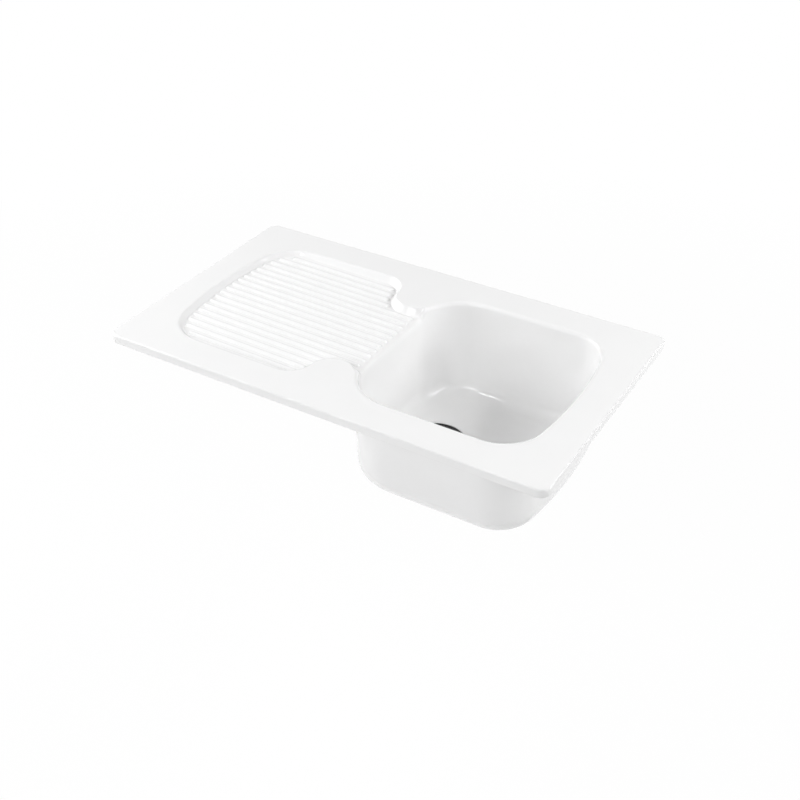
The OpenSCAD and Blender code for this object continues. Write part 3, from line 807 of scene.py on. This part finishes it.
# %% [markdown]
# ## The waste body
#
# The bell, the cone and the outlet are one moulding under the bowl. Its profile
# runs down the outside and back up the inside. Along the outlet it is not a
# turned shape but a thread: the radius at a height and an angle is a rounded
# wave of the turns climbed, so one grid still covers it.

# %% Sizes of the waste body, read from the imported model
body_low, body_high = (np.array(corner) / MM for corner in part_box("waste_body"))
BELL_TOP = body_high[2]
TAIL_END = body_low[2]
BODY_WALL = 3
CLAMP_OUT = (body_high - body_low)[0] / 2
CLAMP_T = 4
BELL_R = OUTLET_D / 2 + 1.5
BELL_BOTTOM = BELL_TOP - 36
TAIL_TOP = BELL_BOTTOM - 18
TAIL_R = 23.9
BORE_R = 20
SPIGOT_R = 12
SPIGOT_BORE_R = 9
SPIGOT_Z = BELL_TOP - CLAMP_T - SPIGOT_R - 5
SPIGOT_END = body_high[1]
print("waste body from", round(BELL_TOP, 1), "to", round(TAIL_END, 1), "spigot out to", round(SPIGOT_END, 1))

# %% The pipe thread
THREAD_PITCH = 2.309
THREAD_DEPTH = 1.479
THREAD_BARE = 7
THREAD_ROWS_PER_TURN = 10
TAIL_ARRIS = 1.2


def thread_rows(top, bottom):
    """Rows of the outlet's thread, from the top down: the radius is the crest's, less the depth times
    half of one plus the cosine of the turns climbed, fading out where the cutter left the pipe."""
    count = int((top - bottom) / THREAD_PITCH * THREAD_ROWS_PER_TURN)
    z = np.linspace(top, bottom, count)[:, None]
    angle = np.linspace(0, 2 * np.pi, TURN_STEPS, endpoint=False)[None, :]
    wave = (1 + np.cos(2 * np.pi * z / THREAD_PITCH - angle)) / 2
    fade = smooth_step((top - z) / THREAD_PITCH) * smooth_step((z - bottom) / THREAD_PITCH)
    radius = TAIL_R - THREAD_DEPTH * fade * wave
    return np.stack([OUTLET_X + radius * np.cos(angle), radius * np.sin(angle), z + 0 * angle], axis=-1)


# %% Make the waste body
body = Skin()
thread_top = TAIL_TOP - THREAD_BARE
body_wall = rounded([
    (BELL_R, BELL_TOP, 0.4), (CLAMP_OUT, BELL_TOP, 1.2), (CLAMP_OUT, BELL_TOP - CLAMP_T, 1.2),
    (BELL_R + BODY_WALL, BELL_TOP - CLAMP_T, 2.0), (BELL_R + BODY_WALL, BELL_BOTTOM, 5.0),
    (TAIL_R, TAIL_TOP, 3.0), (TAIL_R, thread_top, 0), (TAIL_R, TAIL_END, TAIL_ARRIS),
    (BORE_R, TAIL_END, 0.6), (BORE_R, TAIL_TOP, 3.0), (BELL_R, BELL_BOTTOM, 4.0)], 6)
thread_start = int(np.argmin(np.hypot(body_wall[:, 0] - TAIL_R, body_wall[:, 1] - thread_top)))
body_rows = turned(body_wall, WASTE, TURN_STEPS)
thread = thread_rows(thread_top, TAIL_END + TAIL_ARRIS + 0.1)
body.grid(np.concatenate([
    body_rows[:thread_start + 1], thread[1:-1], body_rows[thread_start + 1:]]), closed=True)
print("thread:", round((thread_top - TAIL_END) / THREAD_PITCH, 1), "turns in", len(thread), "rows")

# %% Its hub, spokes and spigot
HUB_TOP = CUP_BOTTOM - 2
HUB_H = 20
HUB_R = 8
INSERT_DEPTH = 14
HUB_INSERT_R = 4.8
SPOKE_Z = BELL_BOTTOM + 1
SPOKE_H = 10
# The spokes' ends are sunk this far into the hub and into the bell's wall
SPOKE_IN_HUB = 0.8
SPOKE_IN_WALL = 0.6
body.grid(turned(rounded([
    (HUB_INSERT_R, HUB_TOP, 0.3), (HUB_R, HUB_TOP, 1.0), (HUB_R, HUB_TOP - HUB_H, 1.0),
    (SCREW_HOLE_R, HUB_TOP - HUB_H, 0.4), (SCREW_HOLE_R, HUB_TOP - INSERT_DEPTH, 0),
    (HUB_INSERT_R, HUB_TOP - INSERT_DEPTH, 0)]), WASTE, 48), closed=True)
spoke_section = rounded([
    (BODY_WALL / 2, SPOKE_Z, 0.8), (BODY_WALL / 2, SPOKE_Z + SPOKE_H, 0.8),
    (-BODY_WALL / 2, SPOKE_Z + SPOKE_H, 0.8), (-BODY_WALL / 2, SPOKE_Z, 0.8)])[:-1]


def spoke(turn):
    """A spoke: the rounded section carried straight out from the hub into the bell's wall, ends closed."""
    out = np.array([math.cos(turn), math.sin(turn)])
    side = np.array([-out[1], out[0]])
    rows = []
    for reach in (HUB_R - SPOKE_IN_HUB, BELL_R + SPOKE_IN_WALL):
        flat = np.array(WASTE) + reach * out + spoke_section[:, :1] * side
        rows.append(np.column_stack([flat, spoke_section[:, 1]]))
    body.grid(rows, closed=True)
    for row in rows:
        body.add(row, [list(range(len(row)))])


for turn in np.radians([45, 135, 225, 315]):
    spoke(turn)
# The spigot is turned about an upright axis and then laid along the depth of the sink
SPIGOT_START = BELL_R + 0.5
spigot = turned(rounded([
    (SPIGOT_R, SPIGOT_START, 0), (SPIGOT_R, SPIGOT_END, 0.8), (SPIGOT_BORE_R, SPIGOT_END, 0.4),
    (SPIGOT_BORE_R, SPIGOT_START, 0)]), (0, 0), 48)
across, up, along = np.moveaxis(spigot, -1, 0)
body.grid(np.stack([across + OUTLET_X, along, up + SPIGOT_Z], axis=-1), closed=True)
body_piece = slotted(piece("waste_bell_and_tail", body.mesh("waste_bell_and_tail")),
                     "sink", "waste_body")

# %% [markdown]
# ## The knob
#
# The knob that lifts the basket is a small mushroom, turned in one profile with
# a dished top for the fingertip. The dish and the crown are arcs that meet in a
# smooth edge.

# %% Make the knob
knob_low, knob_high = (np.array(corner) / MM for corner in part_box("basket_knob"))
KNOB_R = (knob_high - knob_low)[0] / 2
KNOB_FOOT_R = 5
STEM_HOLE_R = 3.05
STEM_HOLE_TOP = knob_high[2] - 3
DISH_R = 7.5
DISH_DEPTH = 0.8
DISH_CENTRE = 0.02
EDGE_R = 1.6
UNDERCUT = 0.2
FLARE = 2.2
KNOB_STEPS = 64
knob = Skin()
under_share = np.linspace(0, 1, 13)
under = np.column_stack([
    KNOB_FOOT_R + (KNOB_R - KNOB_FOOT_R - UNDERCUT) * under_share ** FLARE,
    knob_low[2] + (knob_high[2] - 2 * EDGE_R - knob_low[2]) * under_share])
edge_turn = np.linspace(-np.pi / 2, np.pi / 2, 13)[1:-1]
edge = np.column_stack([
    KNOB_R - EDGE_R + EDGE_R * np.cos(edge_turn), knob_high[2] - EDGE_R + EDGE_R * np.sin(edge_turn)])
dish_share = np.linspace(1, DISH_CENTRE, 12)
dish = np.column_stack([
    DISH_R * dish_share, knob_high[2] - DISH_DEPTH * (1 + np.cos(np.pi * dish_share)) / 2])
hole = [(STEM_HOLE_R, STEM_HOLE_TOP), (STEM_HOLE_R, knob_low[2] + BORE_EDGE),
        (STEM_HOLE_R + BORE_EDGE, knob_low[2])]
knob_rows = turned(np.vstack([under, edge, dish]), WASTE, KNOB_STEPS)
hole_rows = turned(hole, WASTE, KNOB_STEPS)
knob.grid(np.concatenate([hole_rows, knob_rows]), closed=True)
knob.add(knob_rows[-1], [list(range(KNOB_STEPS))])
knob.add(hole_rows[0], [list(range(KNOB_STEPS))])
knob_piece = slotted(piece("lifting_knob", knob.mesh("lifting_knob", sharp=50)),
                     "stem", "basket_knob")

# %% [markdown]
# ## Materials
#
# A material is a small graph of nodes. One function adds a node, sets what is
# given by name and links what is given as a socket, and another turns the hex
# colours that designers write into the linear numbers that light needs.

# %% Helpers for materials
def linear(hex_colour):
    """An sRGB hex colour as linear red, green, blue and alpha."""
    parts = [int(hex_colour[i:i + 2], 16) / 255 for i in (0, 2, 4)]
    return [c / 12.92 if c <= 0.04045 else ((c + 0.055) / 1.055) ** 2.4 for c in parts] + [1.0]


def add_node(tree, kind, settings=(), **inputs):
    """Adds a node, gives it its settings, and sets or links each input by name."""
    node = tree.nodes.new(kind)
    for key, value in dict(settings).items():
        setattr(node, key, value)
    for key, value in inputs.items():
        socket = node.inputs[int(key[1:]) if key[0] == "i" and key[1:].isdigit() else key.replace("_", " ")]
        if isinstance(value, bpy.types.NodeSocket):
            tree.links.new(value, socket)
        else:
            socket.default_value = value
    return node


def new_material(name, base, roughness, **shader):
    """A material with its principled shader and Object coordinates in metres."""
    made = bpy.data.materials.new(name)
    made.use_nodes = True
    tree = made.node_tree
    shader_node = tree.nodes["Principled BSDF"]
    shader_node.inputs["Base Color"].default_value = linear(base)
    shader_node.inputs["Roughness"].default_value = roughness
    for key, value in shader.items():
        shader_node.inputs[key.replace("_", " ")].default_value = value
    place = add_node(tree, "ShaderNodeTexCoord").outputs["Object"]
    return made, tree, shader_node, place


def vary(tree, shader_node, socket, pattern, low, high):
    """Lets a pattern of 0 to 1 move a value of the shader between low and high."""
    mapped = add_node(tree, "ShaderNodeMapRange", i0=pattern, i3=low, i4=high)
    tree.links.new(mapped.outputs[0], shader_node.inputs[socket])


def tint(tree, shader_node, pattern, low, high):
    """Lets a pattern of 0 to 1 mix the base colour between two hex colours."""
    mixed = add_node(tree, "ShaderNodeMix", {"data_type": "RGBA"}, Factor=pattern,
                     i6=linear(low), i7=linear(high))
    tree.links.new(mixed.outputs[2], shader_node.inputs["Base Color"])


def relief(tree, shader_node, pattern, depth_mm):
    """Turns a pattern of 0 to 1 into bumps of that many millimetres."""
    bump = add_node(tree, "ShaderNodeBump", Height=pattern, Strength=1.0, Distance=depth_mm * MM)
    tree.links.new(bump.outputs["Normal"], shader_node.inputs["Normal"])


def per_mm(size_mm):
    """Scale of a pattern whose features are that many millimetres across."""
    return 1 / (size_mm * MM)


# %% White mineral-filled resin, moulded
# The mould's polish shows as a clear gloss that varies softly over 60 mm. The
# filler's grain is a few tenths of a millimetre, too fine to show, so the faint
# unevenness that it leaves is drawn 1.6 mm across.
def white_resin():
    made, tree, shader_node, place = new_material("mineral_resin_white_moulded", "F6F6F6", 0.1, IOR=1.5)
    cloud = add_node(tree, "ShaderNodeTexNoise", Vector=place, Scale=per_mm(60), Detail=3.0)
    vary(tree, shader_node, "Roughness", cloud.outputs["Fac"], 0.05, 0.09)
    tint(tree, shader_node, cloud.outputs["Fac"], "F5F5F5", "F8F8F8")
    grain = add_node(tree, "ShaderNodeTexNoise", Vector=place, Scale=per_mm(1.6), Detail=2.0)
    relief(tree, shader_node, grain.outputs["Fac"], 0.006)
    return made


resin = white_resin()
basin_piece.data.materials.append(resin)

# %% Black ABS, moulded with a fine satin texture
# The mould was spark-eroded, which leaves pits a few hundredths of a millimetre
# deep: the black stays deep but its gloss breaks into a satin sheen.
def black_abs():
    made, tree, shader_node, place = new_material("abs_black_satin_moulded", "0E0E10", 0.36, IOR=1.54,
                                                  Specular_IOR_Level=0.3)
    pits = add_node(tree, "ShaderNodeTexNoise", Vector=place, Scale=per_mm(0.5), Detail=2.0)
    relief(tree, shader_node, pits.outputs["Fac"], 0.012)
    wear = add_node(tree, "ShaderNodeTexNoise", Vector=place, Scale=per_mm(9), Detail=4.0)
    vary(tree, shader_node, "Roughness", wear.outputs["Fac"], 0.28, 0.46)
    return made


# %% Black polypropylene, moulded
# Softer and waxier than ABS. The melt leaves faint flow lines down the wall, so
# the noise is stretched along the height.
def black_polypropylene():
    made, tree, shader_node, place = new_material("polypropylene_black_moulded", "1E1E1F", 0.5, IOR=1.49)
    drawn = add_node(tree, "ShaderNodeMapping", Vector=place, Scale=(per_mm(5), per_mm(5), per_mm(30)))
    flow = add_node(tree, "ShaderNodeTexNoise", Vector=drawn.outputs[0], Scale=1.0, Detail=3.0)
    vary(tree, shader_node, "Roughness", flow.outputs["Fac"], 0.42, 0.6)
    skin = add_node(tree, "ShaderNodeTexNoise", Vector=place, Scale=per_mm(0.8), Detail=2.0)
    relief(tree, shader_node, skin.outputs["Fac"], 0.02)
    return made


# %% Black rubber, moulded
# Rubber is matt and carries a grey bloom of wax and chalk in soft patches.
def black_rubber():
    made, tree, shader_node, place = new_material("rubber_black_moulded", "28282A", 0.78, IOR=1.52)
    patches = add_node(tree, "ShaderNodeTexNoise", Vector=place, Scale=per_mm(12), Detail=5.0, Roughness=0.6)
    tint(tree, shader_node, patches.outputs["Fac"], "1F1F21", "37373A")
    vary(tree, shader_node, "Roughness", patches.outputs["Fac"], 0.68, 0.88)
    dust = add_node(tree, "ShaderNodeTexNoise", Vector=place, Scale=per_mm(0.4), Detail=2.0)
    relief(tree, shader_node, dust.outputs["Fac"], 0.015)
    return made


# %% Closed-cell foam
# Cut foam shows its cells, each under a millimetre, as small pits.
def sealing_foam():
    made, tree, shader_node, place = new_material("foam_grey_closed_cell", "3E3E42", 0.92)
    cells = add_node(tree, "ShaderNodeTexVoronoi", Vector=place, Scale=per_mm(0.9))
    relief(tree, shader_node, cells.outputs["Distance"], 0.12)
    tint(tree, shader_node, cells.outputs["Distance"], "46464B", "323236")
    return made


# %% Turned brass with a metric thread
# The bore's thread rises 0.8 mm a turn, drawn as grooves round the axis. At scale
# 1 the wave pattern runs through 20 radians in each unit of length.
WAVE_RADIANS = 20


def turned_brass():
    made, tree, shader_node, place = new_material("brass_turned", "C8A257", 0.32, Metallic=1.0)
    grooves = add_node(tree, "ShaderNodeTexWave", {"bands_direction": "Z"}, Vector=place,
                       Scale=per_mm(0.8) * 2 * math.pi / WAVE_RADIANS)
    relief(tree, shader_node, grooves.outputs["Fac"], 0.15)
    tarnish = add_node(tree, "ShaderNodeTexNoise", Vector=place, Scale=per_mm(3), Detail=4.0)
    tint(tree, shader_node, tarnish.outputs["Fac"], "D2AE62", "AE8A48")
    vary(tree, shader_node, "Roughness", tarnish.outputs["Fac"], 0.22, 0.42)
    return made


# %% Turned stainless steel
# The lathe's tool leaves fine rings round the axis. They are a few hundredths of
# a millimetre apart, too fine to show, so they are drawn 0.25 mm apart.
def turned_steel():
    made, tree, shader_node, place = new_material("stainless_steel_turned", "C6C5C2", 0.26, Metallic=1.0)
    drawn = add_node(tree, "ShaderNodeMapping", Vector=place, Scale=(per_mm(40), per_mm(40), per_mm(0.25)))
    rings = add_node(tree, "ShaderNodeTexNoise", Vector=drawn.outputs[0], Scale=1.0, Detail=2.0)
    relief(tree, shader_node, rings.outputs["Fac"], 0.01)
    vary(tree, shader_node, "Roughness", rings.outputs["Fac"], 0.18, 0.36)
    return made


# %% Give every piece its finish
FINISHES = {
    "black_strainer": (black_abs(), [cup_piece, knob_piece], ["basket"]),
    "black_polypropylene": (black_polypropylene(), [body_piece], ["spigot_cap"]),
    "rubber": (black_rubber(), [], ["upper_gasket", "lower_gasket", "spigot_washer", "basket_seal"]),
    "sealing_foam": (sealing_foam(), [], ["rim_seal"]),
    "brass": (turned_brass(), [], ["fixing_inserts", "hub_insert"]),
    "stainless_steel": (turned_steel(), [], [
        "screw_washer", "clamp_screw", "seal_retainer", "basket_stem", "stem_plug", "grip_ring"])}
for finish, made_pieces, node_names in FINISHES.values():
    for made in made_pieces:
        made.data.materials.append(finish)
    for name in node_names:
        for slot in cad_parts[name].material_slots:
            slot.material = finish
print("finishes:", {key: len(row[1]) + len(row[2]) for key, row in FINISHES.items()})

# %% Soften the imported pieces' edges
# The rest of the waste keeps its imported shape. Weld joins its loose triangles,
# and Bevel rounds what is sharper than 40 degrees by the radius that such a
# piece has, in millimetres.
EDGE_RADII = {
    "basket": 0.25, "spigot_cap": 0.5, "basket_seal": 0.3, "clamp_screw": 0.4, "basket_stem": 0.3,
    "stem_plug": 0.3, "seal_retainer": 0.2}
SAME_PLACE = 0.001
SHARP_FROM = math.radians(40)
for name, radius in EDGE_RADII.items():
    node_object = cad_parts[name]
    weld = node_object.modifiers.new("weld", "WELD")
    weld.merge_threshold = SAME_PLACE * MM
    bevel = node_object.modifiers.new("bevel", "BEVEL")
    bevel.width = radius * MM
    bevel.segments = 2
    bevel.limit_method = "ANGLE"
    bevel.angle_limit = SHARP_FROM
print("softened:", len(EDGE_RADII))

# %% [markdown]
# ## The studio
#
# A white object on white is drawn by shade alone. Wide softboxes at the left,
# the right and in front light the hollow's walls and leave its floor in shade,
# and two low ones lift the outside. A narrow strip and a small lamp draw the
# thin bright lines on the fillet. The level of each is given as the share of a
# white surface's brightness that it adds, and the lamp's power follows from its
# distance.

# %% Softboxes
AIM = (60, 0, -60)
BOX = (1.4, 1.4)
BOX_DISTANCE = 2.6
# Points of the bowl's fillet that show a thin glint, from a strip at the right and a small lamp in front
LEFT_GLINT = (37, 131, -168)
BACK_GLINT = (126, 165, -170)


def softbox(name, azimuth, elevation, level, size=BOX, distance=BOX_DISTANCE, aim=AIM, roll=0):
    """A rectangular lamp, its width and height in metres, at a distance from the point that it is aimed at.
    Azimuth 0 stands in front and 90 at the right, in degrees. A lamp of power P lights a surface that
    faces it at distance d with P / (pi d^2), and a white surface needs pi for full brightness, so P is
    pi^2 d^2 times the level. The roll, in degrees, lifts the end with the larger azimuth."""
    turn, rise = math.radians(azimuth), math.radians(elevation)
    direction = Vector((math.cos(rise) * math.sin(turn), -math.cos(rise) * math.cos(turn), math.sin(rise)))
    data = bpy.data.lights.new(name, "AREA")
    data.shape = "RECTANGLE"
    data.size, data.size_y = size
    data.energy = math.pi ** 2 * distance ** 2 * level
    lamp = bpy.data.objects.new(name, data)
    lamp.location = Vector(aim) * MM + direction * distance
    upright = direction.to_track_quat("Z", "Y").to_matrix()
    lamp.rotation_euler = (upright @ Matrix.Rotation(math.radians(roll), 3, "Z")).to_euler()
    bpy.context.scene.collection.objects.link(lamp)
    print(name, "has", round(data.energy, 1), "W")


softbox("softbox_right_back", 120, 32, 0.49)
softbox("strip_right", 85, 37.5, 0.19, size=(1.8, 0.10), aim=LEFT_GLINT, roll=22)
softbox("softbox_front", 0, 30, 0.38)
softbox("softbox_left", 270, 34, 0.44)
softbox("softbox_left_low", 270, 12, 0.12)
softbox("softbox_front_low", 300, 12, 0.20)
softbox("lamp_front", 326.5, 48.5, 0.02, size=(0.07, 0.07), distance=1.3, aim=BACK_GLINT)

# %% World, floor and background
HORIZON_LEVEL = 0.20
ZENITH_LEVEL = 0.12


def seen_directly(tree):
    """1 for what the camera sees, itself, in a reflection or through glass, and 0 for light on the object."""
    path = add_node(tree, "ShaderNodeLightPath")
    first = add_node(tree, "ShaderNodeMath", {"operation": "MAXIMUM"},
                     i0=path.outputs["Is Camera Ray"], i1=path.outputs["Is Glossy Ray"])
    return add_node(tree, "ShaderNodeMath", {"operation": "MAXIMUM"},
                    i0=first.outputs[0], i1=path.outputs["Is Transmission Ray"]).outputs[0]


world = bpy.data.worlds.new("studio")
bpy.context.scene.world = world
world.use_nodes = True
sky = world.node_tree
direction = add_node(sky, "ShaderNodeTexCoord").outputs["Generated"]
height = add_node(sky, "ShaderNodeSeparateXYZ", Vector=direction).outputs["Z"]
level = add_node(sky, "ShaderNodeMapRange", i0=height, i3=HORIZON_LEVEL, i4=ZENITH_LEVEL)
strength = add_node(sky, "ShaderNodeMix", i0=seen_directly(sky), i2=level.outputs[0], i3=1.0)
sky.nodes["Background"].inputs["Color"].default_value = (1, 1, 1, 1)
sky.links.new(strength.outputs[0], sky.nodes["Background"].inputs["Strength"])

# %% The floor
FLOOR_Z = -900
FLOOR_HALF = 20000
# Near the object and far from it: the distance in metres, and the share of pure white in what is seen
NEAR = (1.0, 0.95)
FAR = (3.0, 1.0)

floor_data = bpy.data.meshes.new("floor")
floor_data.from_pydata([(x * FLOOR_HALF * MM, y * FLOOR_HALF * MM, FLOOR_Z * MM)
                        for x, y in ((-1, -1), (1, -1), (1, 1), (-1, 1))], [], [(0, 1, 2, 3)])
floor = piece("floor", floor_data)


def studio_floor():
    """Plain white: it takes the object's shadow, and is lifted to the background's white where it is seen.
    The share of pure white grows with the distance from the middle, so the far floor has no grey."""
    made, tree, shader_node, place = new_material("studio_floor_white", "FAFAFA", 0.9)
    white = add_node(tree, "ShaderNodeEmission", Color=(1, 1, 1, 1), Strength=1.0)
    away = add_node(tree, "ShaderNodeVectorMath", {"operation": "LENGTH"}, i0=place)
    lift = add_node(tree, "ShaderNodeMapRange", i0=away.outputs["Value"],
                    i1=NEAR[0], i2=FAR[0], i3=NEAR[1], i4=FAR[1])
    share = add_node(tree, "ShaderNodeMath", {"operation": "MULTIPLY"},
                     i0=seen_directly(tree), i1=lift.outputs[0])
    blend = add_node(tree, "ShaderNodeMixShader",
                     i0=share.outputs[0], i1=shader_node.outputs[0], i2=white.outputs[0])
    tree.links.new(blend.outputs[0], tree.nodes["Material Output"].inputs["Surface"])
    return made


floor_data.materials.append(studio_floor())
bpy.context.scene.view_settings.view_transform = "Standard"
